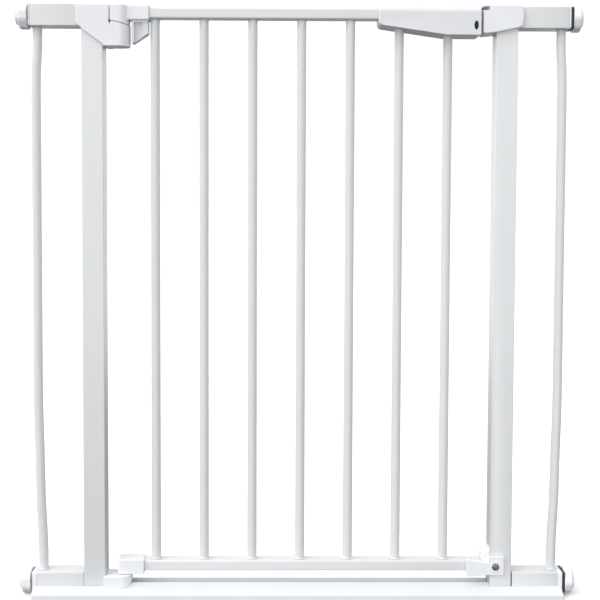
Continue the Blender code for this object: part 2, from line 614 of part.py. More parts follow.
def main():
    for obj in list(bpy.data.objects):
        bpy.data.objects.remove(obj)
    make_materials()
    add_posts()
    add_base()
    add_extensions()
    add_tension_sets()
    add_hinge_housing()
    add_hinge_arm()
    add_lower_hinge()
    add_lower_pivot()
    add_door()
    add_handle()
    add_latch()
    add_strike()
    add_lower_stop()


main()
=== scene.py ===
"""Looks of the pressure-fit safety gate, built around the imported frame.

Lengths are millimetres until a piece is added; X runs along the gate, the door opens towards +Y.
"""
import math

import bmesh
import bpy
from mathutils import Matrix, Vector


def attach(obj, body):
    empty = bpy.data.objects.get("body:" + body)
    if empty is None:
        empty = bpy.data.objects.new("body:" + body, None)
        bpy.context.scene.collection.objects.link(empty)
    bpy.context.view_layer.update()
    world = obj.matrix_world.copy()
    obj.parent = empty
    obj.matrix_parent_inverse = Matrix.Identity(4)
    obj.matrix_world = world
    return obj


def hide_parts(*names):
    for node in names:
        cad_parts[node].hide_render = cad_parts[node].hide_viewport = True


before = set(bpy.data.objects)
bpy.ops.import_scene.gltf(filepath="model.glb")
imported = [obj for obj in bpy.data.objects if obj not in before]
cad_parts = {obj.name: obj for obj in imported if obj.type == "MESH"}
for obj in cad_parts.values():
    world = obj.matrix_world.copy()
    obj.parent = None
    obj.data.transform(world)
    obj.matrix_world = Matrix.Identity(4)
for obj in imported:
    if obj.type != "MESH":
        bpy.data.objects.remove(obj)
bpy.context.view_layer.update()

MM = 0.001
GAP = 0.3

# sizes shared with the CAD frame, apart from the strike slot, which ends 3 mm earlier here
POST_IN, POST_OUT, POST_DEPTH, POST_HIGH = 251.8, 279.8, 15.0, 764.0
WALL = 1.4
TUBE_TALL, TOP_TUBE_Z, LOW_TUBE_Z = 14.0, 753.6, 17.3
TUBE_IN, TUBE_END = 280.1, {"top": 345.0, "low": 341.0}
CORNER_R, INNER_R = 1.2, 0.6
STUB_R, STUB_DROP = 5.0, 4.0   # stub that ties a side tube to its post; the top one sits low
STACK = {  # |x| of flange end, washer faces and knob faces
    "left_top": (347.0, 347.3, 348.3, 348.6, 360.6),
    "left_low": (347.5, 347.8, 349.4, 349.7, 361.7),
    "right_top": (347.5, 347.8, 350.9, 351.2, 362.0),
    "right_low": (347.5, 347.8, 350.9, 351.2, 362.0),
}
PAD_OUT, PAD_R = 364.5, 11.0
PLUG_R = 2.4   # corners of the plug flanges and the washers
CROSSBAR_Y, CROSSBAR_HALF, CROSSBAR_TALL = 6.5, 7.5, 3.2
SILL_HALF, SILL_DEPTH, SILL_LIP, SILL_SHOULDER, SILL_FLOOR = 346.0, 30.0, 6.1, 13.3, 3.0
AXIS_X, SEAM_Z, SEAM_SLOPE = -230.5, 744.0, 0.238
BARREL_R, BARREL_FRONT = 12.2, 19.0
ARM_BARREL_R, ARM_BARREL_FRONT = 11.7, 18.7
HOUSING_LEFT, HOUSING_LOW, HOUSING_TOP, SPLIT = -285.1, 714.1, 766.7, -243.2
PIN_R, BORE_R = 4.0, 4.3   # hinge pins and spindles, and the holes they run in
THREAD_DEPTH, THREAD_PITCH = 0.55, 3.0
RAIL_DEPTH, RAIL_TOP, RAIL_LOW = 10.0, (750.4, 764.5), (31.7, 45.6)
RAIL_R, RAIL_INNER_R = 2.6, 1.2
BAR_R, BAR_COUNT, BAR_FIRST, BAR_PITCH = 6.0, 7, -186.7, 63.0
HANDLE_DEPTH, HANDLE_TOP, HANDLE_START, HANDLE_END = 22.0, 766.0, 100.5, 231.0
BOLT_TAIL, BOLT_NOSE, BOLT_HALF, BOLT_LOW, BOLT_HIGH = 212.0, 243.4, 6.0, 747.0, 757.0
LATCH_TRAVEL = 10.0
SLIDE_START, SLIDE_END, SLIDE_BASE = 192.5, 233.3, 766.4
STRIKE_START, STRIKE_END, STRIKE_DEPTH, STRIKE_TOP = 234.2, 285.6, 20.0, 768.1
STOP_SCREW = (258.7, 39.8)
INDICATOR, INDICATOR_SIZE = (224.7, 742.2), (2.6, 5.6)
HANDLE_SCREWS = ((111.0, 747.5), (206.0, 738.0))
STRIKE_SCREW = (262.0, 750.0)
# head radius, head height and shank radius of a screw, and the radius of its hole
SMALL_SCREW, SMALL_BORE = (3.1, 1.3, 1.6), 1.9
LARGE_SCREW, LARGE_BORE = (4.6, 1.9, 2.2), 2.5
BELOW_TOP, ABOVE_TOP = 600.0, 900.0   # heights clear of the fittings at the top

# the set, in metres and radians: floor, world strengths and camera
FLOOR_GLOW, FLOOR_SIZE = 0.10, 40.0
BELT, SKY, PIT, SHADE_SIDE = 1.12, 0.92, 0.12, 0.78   # horizon, ceiling, below, latch side
EYE, YAW, PITCH, ROLL = (-0.01446, -1.4370, 0.52506), 0.0109, 0.0511, 0.0041


# --- outlines ----------------------------------------------------------------------------------
def place(u, v, w, axis):
    """A point with (u, v) across and w along the axis, with u and v in X, Y, Z order."""
    return {"X": (w, u, v), "Y": (u, w, v), "Z": (u, v, w)}[axis]


def fillet(corners, radius, steps=6, margin=0.35):
    """Round the corners of a polygon; radius is one number or one per corner.

    A point a margin along the straight edge follows each end of an arc, so what stays straight
    between two arcs has to be longer than two margins, or the outline crosses itself.
    """
    count = len(corners)
    radii = [radius] * count if isinstance(radius, (int, float)) else list(radius)
    points = []
    for k, corner in enumerate(corners):
        here = Vector(corner)
        before = Vector(corners[k - 1]) - here
        after = Vector(corners[(k + 1) % count]) - here
        turn = before.angle(after)
        if radii[k] <= 0.0 or turn > math.pi - 0.02:
            points.append(tuple(here))
            continue
        reach = radii[k] / math.tan(turn / 2)
        reach = min(reach, 0.49 * before.length, 0.49 * after.length)
        size = reach * math.tan(turn / 2)
        before.normalize()
        after.normalize()
        hub = here + (before + after).normalized() * (size / math.sin(turn / 2))
        first, last = here + before * reach, here + after * reach
        ease = min(margin, reach * 0.2)
        points.append(tuple(first + before * ease))
        a, b = first - hub, last - hub
        sweep_angle = a.angle(b)
        for s in range(steps + 1):
            t = s / steps
            mix = a * math.sin((1 - t) * sweep_angle) + b * math.sin(t * sweep_angle)
            points.append(tuple(hub + mix / max(math.sin(sweep_angle), 1e-9)))
        points.append(tuple(last + after * ease))
    return points


def rounded(half_u, half_v, radius, centre=(0.0, 0.0), steps=6):
    """A rectangle with rounded corners."""
    u, v = centre
    return fillet([(u + half_u, v - half_v), (u + half_u, v + half_v),
                   (u - half_u, v + half_v), (u - half_u, v - half_v)], radius, steps)


def oval(half_u, half_v, centre, steps=40):
    return [(centre[0] + half_u * math.cos(2 * math.pi * k / steps),
             centre[1] + half_v * math.sin(2 * math.pi * k / steps)) for k in range(steps)]


def circle(radius, centre=(0.0, 0.0), steps=48):
    return oval(radius, radius, centre, steps)


def signed_area(points):
    return sum(a[0] * b[1] - b[0] * a[1] for a, b in zip(points, points[1:] + points[:1])) / 2


def meet(p, d, q, e, fallback):
    """Crossing of the lines p + s*d and q + t*e."""
    cross = d.x * e.y - d.y * e.x
    if abs(cross) < 0.02:
        return fallback
    gap = q - p
    return p + d * ((gap.x * e.y - gap.y * e.x) / cross)


def inset(points, amount):
    """Move an outline inwards by amount; short edges that would turn over are closed up."""
    if abs(amount) < 1e-9:
        return list(points)
    way = 1.0 if signed_area(points) > 0 else -1.0
    count = len(points)
    spots = [Vector(p) for p in points]
    along = [(spots[(k + 1) % count] - spots[k]).normalized() for k in range(count)]
    shift = [Vector((-d.y, d.x)) * way * amount for d in along]
    alive = list(range(count))
    while True:
        corner = {}
        for i, edge in enumerate(alive):
            last = alive[i - 1]
            middle = (spots[(last + 1) % count] + shift[last] + spots[edge] + shift[edge]) / 2
            corner[edge] = meet(spots[last] + shift[last], along[last], spots[edge] + shift[edge],
                                along[edge], middle)
        kept = [edge for i, edge in enumerate(alive)
                if (corner[alive[(i + 1) % len(alive)]] - corner[edge]).dot(along[edge]) > 1e-6]
        if len(kept) == len(alive) or len(kept) < 3:
            break
        alive = kept
    return [tuple(corner[next((edge for edge in alive if edge >= k), alive[0])])
            for k in range(count)]


# --- bodies ------------------------------------------------------------------------------------
def close(bm):
    """Weld stray doubles and face the body outwards."""
    bmesh.ops.remove_doubles(bm, verts=bm.verts, dist=0.001)
    bmesh.ops.recalc_face_normals(bm, faces=bm.faces)
    if bm.calc_volume(signed=True) < 0.0:
        bmesh.ops.reverse_faces(bm, faces=bm.faces)
    return bm


def band(bm, lower, upper):
    """Faces between two loops of equal length."""
    count = len(lower)
    for k in range(count):
        n = (k + 1) % count
        bm.faces.new((lower[k], lower[n], upper[n], upper[k]))


def skin(bm, loops):
    """Closed body through loops of vertices, with a cap at each end."""
    for lower, upper in zip(loops, loops[1:]):
        band(bm, lower, upper)
    bm.faces.new(loops[0])
    bm.faces.new(loops[-1])
    return close(bm)


def loft(rings, axis):
    """Closed body through rings of equal point count; a ring is an outline and its place."""
    bm = bmesh.new()
    return skin(bm, [[bm.verts.new(place(u, v, w, axis)) for u, v in outline]
                     for outline, w in rings])


def soft(outline, axis, low, high, r_low=1.0, r_high=None, steps=5):
    """A prism whose rims are rounded, with holding loops that keep its flats flat."""
    hold = 0.3
    r_high = r_low if r_high is None else r_high
    rings = []
    if r_low > 0:
        rings.append((inset(outline, r_low + hold), low))
        for k in range(steps + 1):
            a = 0.5 * math.pi * k / steps
            rings.append((inset(outline, r_low * (1 - math.sin(a))),
                          low + r_low * (1 - math.cos(a))))
        rings.append((outline, low + r_low + hold))
    else:
        rings.append((outline, low))
    if r_high > 0:
        rings.append((outline, high - r_high - hold))
        for k in range(steps + 1):
            a = 0.5 * math.pi * k / steps
            rings.append((inset(outline, r_high * (1 - math.cos(a))),
                          high - r_high * (1 - math.sin(a))))
        rings.append((inset(outline, r_high + hold), high))
    else:
        rings.append((outline, high))
    return loft(rings, axis)


def prism(outline, axis, low, high):
    return loft(((outline, low), (outline, high)), axis)


def tube(outer, inner, axis, low, high):
    """An open-ended tube; both outlines have the same number of points."""
    bm = bmesh.new()
    rings = [(outer, low + 0.4), (outer, high - 0.4), (inset(outer, 0.12), high - 0.1),
             (inset(outer, 0.4), high), (inner, high), (inner, low), (inset(outer, 0.4), low),
             (inset(outer, 0.12), low + 0.1)]
    loops = [[bm.verts.new(place(u, v, w, axis)) for u, v in outline] for outline, w in rings]
    for lower, upper in zip(loops, loops[1:] + loops[:1]):
        band(bm, lower, upper)
    return close(bm)


def box(low, high):
    (x0, y0, z0), (x1, y1, z1) = low, high
    return prism([(x0, y0), (x1, y0), (x1, y1), (x0, y1)], "Z", z0, z1)


def rod(radius, centre, axis, low, high, steps=48):
    return prism(circle(radius, centre, steps), axis, low, high)


def sweep(points, radius, steps=36):
    """A round bar along points, its ends cut level, with a weld bead at each end."""
    bm = bmesh.new()
    loops = []
    last = len(points) - 1
    for i, point in enumerate(points):
        ahead = Vector(points[min(i + 1, last)]) - Vector(points[max(i - 1, 0)])
        level = Vector((0, 0, math.copysign(1.0, ahead.z)))
        along = level if i in (0, last) else ahead.normalized()
        side = Vector((1, 0, 0))
        side = (side - along * side.dot(along)).normalized()
        other = along.cross(side)
        size = radius + bead(min(abs(point[2] - points[0][2]), abs(point[2] - points[-1][2])))
        turns = (2 * math.pi * k / steps for k in range(steps))
        loops.append([bm.verts.new(Vector(point)
                                   + size * (math.cos(a) * side + math.sin(a) * other))
                      for a in turns])
    return skin(bm, loops)


# distance from the joint, extra radius
WELD = ((0.0, 1.3), (0.35, 0.85), (0.8, 0.48), (1.4, 0.2), (2.1, 0.05), (2.8, 0.0))


def bead(distance):
    """Extra radius of a weld bead at a distance from the joint."""
    for (d0, r0), (d1, r1) in zip(WELD, WELD[1:]):
        if distance <= d1:
            return r0 + (r1 - r0) * (distance - d0) / (d1 - d0)
    return 0.0


def temporary(bm, name):
    """An object in the scene that holds a body while it is being cut or joined."""
    mesh = bpy.data.meshes.new(name)
    bm.to_mesh(mesh)
    bm.free()
    obj = bpy.data.objects.new(name, mesh)
    bpy.context.scene.collection.objects.link(obj)
    return obj


def combine(base, tool, operation):
    """Boolean of two closed bodies, returned as a new body."""
    first, second = temporary(base, "work_a"), temporary(tool, "work_b")
    step = first.modifiers.new("step", "BOOLEAN")
    step.operation, step.solver, step.object = operation, "EXACT", second
    graph = bpy.context.evaluated_depsgraph_get()
    mesh = bpy.data.meshes.new_from_object(first.evaluated_get(graph))
    result = bmesh.new()
    result.from_mesh(mesh)
    for obj in (first, second):
        data = obj.data
        bpy.data.objects.remove(obj)
        bpy.data.meshes.remove(data)
    bpy.data.meshes.remove(mesh)
    bmesh.ops.remove_doubles(result, verts=result.verts, dist=0.001)
    return result


def cut(base, *tools):
    for tool in tools:
        base = combine(base, tool, "DIFFERENCE")
    return base


def join(base, *tools):
    for tool in tools:
        base = combine(base, tool, "UNION")
    return base


def slant(bm, height, keep_below):
    """Keep what lies below (or above) the hinge's inclined face."""
    far = 60.0
    corners = [(x, height - SEAM_SLOPE * (x - AXIS_X)) for x in (AXIS_X - far, AXIS_X + far)]
    edge = ABOVE_TOP if keep_below else BELOW_TOP
    outline = corners + [(AXIS_X + far, edge), (AXIS_X - far, edge)]
    return cut(bm, prism(outline, "Y", -far, far))


def threaded(radius, depth, pitch, centre, low, high):
    """A threaded rod along X, chamfered at both ends."""
    per_turn, around = 8, 24
    chamfer, chamfer_long = 0.8, 1.2
    rings = int((high - low) / pitch * per_turn)
    bm = bmesh.new()
    loops = []
    for i in range(rings + 1):
        x = low + (high - low) * i / rings
        ease = min(1.0, (x - low) / chamfer_long, (high - x) / chamfer_long)
        loop = []
        for k in range(around):
            phase = ((x - low) / pitch + k / around) % 1.0
            tooth = abs(2.0 * phase - 1.0)
            r = radius - depth * min(1.0, max(0.0, 1.5 * tooth - 0.25)) \
                - chamfer * (1 - max(ease, 0.0))
            a = 2 * math.pi * k / around
            loop.append(bm.verts.new((x, centre[0] + r * math.cos(a), centre[1] + r * math.sin(a))))
        loops.append(loop)
    return skin(bm, loops)


def screw(spot, y, way, head_r, head_high, shank_r, depth):
    """A cross-recess screw along Y; way is the sign of the direction its head faces."""
    x, z = spot
    shape = [(shank_r * 0.4, -depth), (shank_r, -depth + 1.0), (shank_r, -0.05),
             (head_r * 0.97, -0.05)]
    shape += [(head_r * math.cos(a), head_high * math.sin(a) ** 0.9) for a in
              (math.radians(d) for d in (0, 12, 25, 38, 50, 62, 72, 80))]
    body = loft([(circle(r, (x, z), 36), y + way * d) for r, d in shape], "Y")
    arm, half, askew = head_r * 0.55, head_r * 0.13, 0.6
    cross = []
    for quarter in range(4):
        c, s = math.cos(quarter * math.pi / 2 + askew), math.sin(quarter * math.pi / 2 + askew)
        for u, v in ((arm, -half), (arm, half), (half, half)):
            cross.append((x + u * c - v * s, z + u * s + v * c))
    low, high = sorted((y + way * head_high * 0.35, y + way * (head_high + 2.0)))
    return cut(body, prism(cross, "Y", low, high))


# --- materials ---------------------------------------------------------------------------------
class Graph:
    """Short-hand for building a node material."""

    def __init__(self, name):
        self.mat = bpy.data.materials.new(name)
        self.mat.use_nodes = True
        self.tree = self.mat.node_tree
        self.shader = self.tree.nodes["Principled BSDF"]
        self.where = self.node("ShaderNodeTexCoord").outputs["Object"]

    def node(self, kind, **values):
        node = self.tree.nodes.new(kind)
        for key, value in values.items():
            if hasattr(node, key):
                setattr(node, key, value)
            else:
                node.inputs[key.replace("_", " ")].default_value = value
        return node

    def link(self, out, into):
        self.tree.links.new(out, into)

    def noise(self, scale, detail=3.0, rough=0.5):
        node = self.node("ShaderNodeTexNoise", Scale=scale, Detail=detail, Roughness=rough)
        self.link(self.where, node.inputs["Vector"])
        return node.outputs["Fac"]

    def cells(self, scale):
        node = self.node("ShaderNodeTexVoronoi", Scale=scale)
        self.link(self.where, node.inputs["Vector"])
        return node.outputs["Distance"]

    def span(self, value, low, high, to_low, to_high):
        node = self.node("ShaderNodeMapRange")
        self.link(value, node.inputs["Value"])
        for socket, number in (("From Min", low), ("From Max", high),
                               ("To Min", to_low), ("To Max", to_high)):
            node.inputs[socket].default_value = number
        return node.outputs["Result"]

    def blend(self, factor, first, second):
        node = self.node("ShaderNodeMix", data_type="RGBA")
        self.link(factor, node.inputs["Factor"])
        for slot, value in ((6, first), (7, second)):
            if isinstance(value, tuple):
                node.inputs[slot].default_value = (*value, 1.0)
            else:
                self.link(value, node.inputs[slot])
        return node.outputs[2]

    def math(self, operation, a, b):
        node = self.node("ShaderNodeMath", operation=operation)
        for slot, value in ((0, a), (1, b)):
            if isinstance(value, (int, float)):
                node.inputs[slot].default_value = value
            else:
                self.link(value, node.inputs[slot])
        return node.outputs[0]

    def bump(self, height, distance, strength=1.0):
        node = self.node("ShaderNodeBump", Strength=strength, Distance=distance)
        self.link(height, node.inputs["Height"])
        self.link(node.outputs["Normal"], self.shader.inputs["Normal"])

    def edges(self, low=0.52, high=0.60):
        """High on outward edges."""
        node = self.node("ShaderNodeNewGeometry")
        return self.span(node.outputs["Pointiness"], low, high, 0.0, 1.0)

    def colour(self, value):
        self.link(value, self.shader.inputs["Base Color"])

    def roughness(self, value):
        self.link(value, self.shader.inputs["Roughness"])

    def fixed(self, **values):
        for key, value in values.items():
            self.shader.inputs[key.replace("_", " ")].default_value = value


def coated(name, light, dark, edge, rough=(0.30, 0.44), peel=0.00003):
    """White powder coat: soft orange peel, slight tone drift, faint grime, and outward edges
    painted brighter as a painted highlight.
    """
    g = Graph(name)
    drift = g.span(g.noise(9.0, 4.0, 0.6), 0.35, 0.68, 0.0, 1.0)
    tone = g.blend(drift, light, dark)
    grime = g.span(g.noise(55.0, 6.0, 0.7), 0.60, 0.82, 0.0, 0.35)
    tone = g.blend(grime, tone, tuple(c * 0.93 for c in dark))
    # outward edges painted brighter: a painted highlight
    g.colour(g.blend(g.edges(), tone, edge))
    g.roughness(g.span(g.noise(140.0, 5.0, 0.65), 0.3, 0.7, *rough))
    coarse, fine = g.noise(620.0, 2.0, 0.5), g.noise(2600.0, 2.0, 0.5)
    g.bump(g.math("ADD", coarse, g.math("MULTIPLY", fine, 0.25)), peel)
    g.fixed(Coat_Weight=0.25, Coat_Roughness=0.22, IOR=1.5)
    return g.mat


def moulded(name, light, dark, edge, rough=(0.40, 0.54), grain=0.00004):
    """Moulded plastic with a fine spark-eroded grain and a few rubbed, glossier patches."""
    g = Graph(name)
    drift = g.span(g.noise(14.0, 3.0, 0.55), 0.35, 0.68, 0.0, 1.0)
    tone = g.blend(drift, light, dark)
    speck = g.span(g.noise(480.0, 3.0, 0.6), 0.66, 0.80, 0.0, 0.18)
    tone = g.blend(speck, tone, tuple(c * 0.88 for c in dark))
    # outward edges painted brighter: a painted highlight
    g.colour(g.blend(g.edges(0.53, 0.62), tone, edge))
    g.roughness(g.span(g.noise(38.0, 4.0, 0.6), 0.40, 0.72, rough[1], rough[0]))
    sparks, swell = g.cells(2400.0), g.noise(900.0, 3.0, 0.6)
    g.bump(g.math("ADD", sparks, g.math("MULTIPLY", swell, 0.6)), grain)
    g.fixed(IOR=1.46, Subsurface_Weight=0.04, Subsurface_Scale=0.002)
    return g.mat


def plated(name, light, dark):
    """Plated steel with cloudy crystals."""
    g = Graph(name)
    cloud = g.span(g.cells(260.0), 0.1, 0.8, 0.0, 1.0)
    g.colour(g.blend(cloud, light, dark))
    g.roughness(g.span(g.noise(500.0, 4.0, 0.6), 0.3, 0.7, 0.26, 0.44))
    g.bump(g.noise(1800.0, 3.0, 0.6), 0.00002)
    g.fixed(Metallic=1.0)
    return g.mat


def rubber(name, light, dark, rough=(0.62, 0.82)):
    """Matt rubber with a fine pebbled skin and outward edges painted paler as a painted highlight.
    """
    g = Graph(name)
    tone = g.blend(g.span(g.noise(90.0, 5.0, 0.65), 0.35, 0.7, 0.0, 1.0), dark, light)
    # outward edges painted paler: a painted highlight
    g.colour(g.blend(g.edges(0.53, 0.63), tone, tuple(min(1.0, c * 1.5 + 0.02) for c in light)))
    g.roughness(g.span(g.noise(300.0, 4.0, 0.6), 0.3, 0.7, *rough))
    g.bump(g.cells(1500.0), 0.00006)
    return g.mat


def lens(name):
    """Green indicator window, glossy, slightly mottled under the surface."""
    g = Graph(name)
    mottle = g.span(g.noise(330.0, 4.0, 0.6), 0.35, 0.68, 0.0, 1.0)
    g.colour(g.blend(mottle, (0.001, 0.018, 0.012), (0.004, 0.040, 0.028)))
    g.roughness(g.span(g.noise(700.0, 3.0, 0.5), 0.3, 0.7, 0.12, 0.24))
    g.bump(g.noise(900.0, 2.0, 0.5), 0.00002)
    g.fixed(Specular_IOR_Level=0.2)
    return g.mat


# the tones are tuned to the photo under this light; handle and fittings differ a little in it
STEEL = coated("coat_white", (0.708, 0.722, 0.729), (0.690, 0.705, 0.712), (0.76, 0.77, 0.775))
SILL = coated("coat_sill", (0.785, 0.800, 0.810), (0.765, 0.780, 0.790), (0.85, 0.855, 0.86),
              rough=(0.34, 0.50))
SHELL = moulded("plastic_handle", (0.752, 0.762, 0.782), (0.736, 0.746, 0.767),
                (0.82, 0.82, 0.83))
FITTING = moulded("plastic_fitting", (0.840, 0.850, 0.874), (0.820, 0.832, 0.857),
                  (0.88, 0.88, 0.89))
PLATED = plated("zinc_plate", (0.66, 0.67, 0.70), (0.46, 0.47, 0.50))
# darker copy of the zinc plate for the stop screw: painted shade on the recessed screw
DARK = plated("zinc_painted_shade", (0.30, 0.305, 0.32), (0.14, 0.145, 0.155))
BLACK = rubber("gasket_black", (0.026, 0.028, 0.033), (0.015, 0.017, 0.021), (0.45, 0.62))
# grey copy of the gasket rubber for the left washers: painted light on the lit side
GREY = rubber("rubber_grey", (0.30, 0.31, 0.32), (0.22, 0.23, 0.24))
PALE = rubber("rubber_pale", (0.84, 0.84, 0.85), (0.80, 0.80, 0.81))
GREEN = lens("lens_green")


def piece(name, bm, material, body, *nodes, crease=32.0):
    """Add a finished piece that stands for CAD nodes and rides on a body."""
    bmesh.ops.scale(bm, vec=(MM, MM, MM), verts=bm.verts)
    mesh = bpy.data.meshes.new(name)
    bm.to_mesh(mesh)
    bm.free()
    mesh.shade_smooth()
    mesh.set_sharp_from_angle(angle=math.radians(crease))
    mesh.materials.append(material)
    obj = bpy.data.objects.new(name, mesh)
    bpy.context.scene.collection.objects.link(obj)
    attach(obj, body)
    if nodes:
        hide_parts(*nodes)
    return obj


def span(low, high, side):
    """A range of X on one side of the gate, given as distances from the middle."""
    return (low, high) if side > 0 else (-high, -low)


def bore(z, low, high):
    """The round hole along X that a spindle takes."""
    return rod(BORE_R, (0.0, z), "X", low, high)


def axis_bore(low, high):
    """The round hole that a hinge pin takes."""
    return rod(BORE_R, (AXIS_X, 0.0), "Z", low, high)


SIDES = ((-1, "left"), (1, "right"))
LEVELS = ((TOP_TUBE_Z, "top"), (LOW_TUBE_Z, "low"))


# --- frame -------------------------------------------------------------------------------------
def make_posts():
    mid, half = (POST_IN + POST_OUT) / 2, (POST_OUT - POST_IN) / 2
    for side, word in SIDES:
        centre = (side * mid, 0.0)
        body = tube(rounded(half, POST_DEPTH, CORNER_R, centre),
                    rounded(half - WALL, POST_DEPTH - WALL, INNER_R, centre), "Z", 3.3, POST_HIGH)
        for z in (LOW_TUBE_Z, TOP_TUBE_Z - STUB_DROP):
            low, high = span(POST_OUT - 5.0, POST_OUT + 5.0, side)
            body = cut(body, rod(STUB_R + GAP, (0.0, z), "X", low, high))
        if side > 0:
            body = cut(body, rod(LARGE_BORE, STOP_SCREW, "Y", -20.0, -10.0))
        piece(f"post_{word}", body, STEEL, "frame", f"{word}_post")


def ramp_height(y):
    """Height of the threshold's ramp at a distance from its middle line."""
    rise = (SILL_SHOULDER - SILL_LIP) / (SILL_DEPTH - POST_DEPTH)
    return SILL_LIP + rise * (SILL_DEPTH - y)


def make_base():
    outline = rounded(CROSSBAR_HALF, CROSSBAR_TALL, CORNER_R, (0.0, CROSSBAR_Y))
    inner = rounded(CROSSBAR_HALF - WALL, CROSSBAR_TALL - WALL, 0.4, (0.0, CROSSBAR_Y))
    body = tube(outline, inner, "X", -POST_IN + GAP, POST_IN - GAP)
    piece("base_crossbar", body, STEEL, "frame", "base_bar")
    edge = CROSSBAR_HALF + GAP
    half = [(SILL_DEPTH, 0.0), (SILL_DEPTH, SILL_LIP), (edge, ramp_height(edge)),
            (edge, SILL_FLOOR)]
    corners = half + [(-y, z) for y, z in reversed(half)]
    radii = [0.5, 1.2, 1.0, 0.4, 0.4, 1.0, 1.2, 0.5]
    body = soft(fillet(corners, radii, 5), "X", -SILL_HALF, SILL_HALF, 0.6)
    for side in (-1, 1):
        low, high = span(POST_IN - GAP, SILL_HALF + 5.0, side)
        body = cut(body, box((low, -POST_DEPTH - GAP, SILL_FLOOR), (high, POST_DEPTH + GAP, 40.0)))
    piece("threshold_ramp", body, SILL, "frame", "threshold")


# height and |x| of the bent side bar's centre line
BAR_PATH = ((739.3, 338.0), (715.0, 338.2), (690.0, 339.6), (668.0, 340.3), (640.0, 340.4),
            (450.0, 340.4), (255.0, 340.4), (222.0, 339.8), (190.0, 339.0), (155.0, 338.4),
            (123.0, 337.8), (95.0, 336.4), (70.0, 335.4), (50.0, 335.0), (31.6, 335.0))


def bar_points(side):
    """The bent bar's centre line: a smooth curve through its bends, denser at the welds."""
    heights = [739.3, 739.0, 738.6, 738.0, 737.2, 736.4]
    heights += [730.0 - 6.0 * k for k in range(116) if 730.0 - 6.0 * k > 36.0]
    heights += [34.5, 33.7, 32.9, 32.3, 31.9, 31.6]
    last = len(BAR_PATH) - 1
    points = []
    for z in heights:
        k = next(i for i in range(last) if BAR_PATH[i + 1][0] <= z + 1e-9)
        (z1, x1), (z2, x2) = BAR_PATH[k], BAR_PATH[k + 1]
        (z0, x0), (z3, x3) = BAR_PATH[max(k - 1, 0)], BAR_PATH[min(k + 2, last)]
        m1 = (x2 - x0) / (z2 - z0)
        m2 = (x3 - x1) / (z3 - z1)
        step = z2 - z1
        t = (z - z1) / step
        x = ((2 * t ** 3 - 3 * t ** 2 + 1) * x1 + (t ** 3 - 2 * t ** 2 + t) * step * m1
             + (-2 * t ** 3 + 3 * t ** 2) * x2 + (t ** 3 - t ** 2) * step * m2)
        points.append((side * x, 0.0, z))
    return points


def make_extensions():
    for side, word in SIDES:
        for z, level in LEVELS:
            start = TUBE_IN + (1.0 if side > 0 and level == "low" else 0.0)
            low, high = span(start, TUBE_END[level], side)
            outer = rounded(POST_DEPTH, TUBE_TALL, CORNER_R, (0.0, z))
            inner = rounded(POST_DEPTH - WALL, TUBE_TALL - WALL, INNER_R, (0.0, z))
            body = tube(outer, inner, "X", low, high)
            low, high = span(TUBE_IN + 1.2, TUBE_IN + 4.0, side)
            wall = prism(rounded(POST_DEPTH - WALL / 2, TUBE_TALL - WALL / 2, 1.6, (0.0, z)),
                         "X", low, high)
            stub_z = z - STUB_DROP if level == "top" else z
            low, high = span(POST_OUT - 6.0, TUBE_IN + 2.0, side)
            body = join(body, wall, rod(STUB_R, (0.0, stub_z), "X", low, high))
            piece(f"tube_{word}_{level}", body, STEEL, "frame", f"{word}_{level}_tube")
            make_plug(side, word, z, level)
        body = sweep(bar_points(side), BAR_R)
        piece(f"bent_bar_{word}", body, STEEL, "frame", f"{word}_extension_bar")


def make_plug(side, word, z, level):
    end = TUBE_END[level]
    low, high = span(end + GAP, STACK[f"{word}_{level}"][0], side)
    flange = soft(rounded(POST_DEPTH, TUBE_TALL, PLUG_R, (0.0, z)), "X", low, high, 0.5)
    low, high = span(end - 16.0, end + 1.0, side)
    nose = prism(rounded(POST_DEPTH - WALL - GAP, TUBE_TALL - WALL - GAP, 0.8, (0.0, z)),
                 "X", low, high)
    body = cut(join(flange, nose), bore(z, *span(300.0, 360.0, side)))
    piece(f"plug_{word}_{level}", body, FITTING, "frame", f"{word}_{level}_plug")


def make_tension_sets():
    for side, word in SIDES:
        for z, level in LEVELS:
            tag = f"{word}_{level}"
            washer_in, washer_out, knob_in, knob_out = STACK[tag][1:]
            shrink = 0.0 if side > 0 else 0.9   # the left washers stay inside their plugs' outline
            low, high = span(washer_in, washer_out, side)
            ring = soft(rounded(POST_DEPTH - shrink, TUBE_TALL - shrink, PLUG_R, (0.0, z)),
                        "X", low, high, 0.3)
            ring = cut(ring, bore(z, low - 5, high + 5))
            # the left washers are the same part as the black right ones, but painted grey: painted
            # light on the lit left side
            piece(f"gasket_{tag}", ring, BLACK if side > 0 else GREY, "frame", f"{tag}_washer")
            body = hand_nut(side, z, *span(knob_in, knob_out, side))
            piece(f"hand_nut_{tag}", body, FITTING, f"{tag}_knob_body", f"{tag}_knob")
            body = threaded(PIN_R, THREAD_DEPTH, THREAD_PITCH, (0.0, z),
                            *span(292.0, knob_out, side))
            piece(f"threaded_rod_{tag}", body, PLATED, f"{tag}_spindle_body", f"{tag}_spindle",
                  crease=50.0)
            body = wall_pad(side, z, *span(knob_out + GAP, PAD_OUT, side))
            piece(f"wall_pad_{tag}", body, PALE, f"{tag}_spindle_body", f"{tag}_pad")


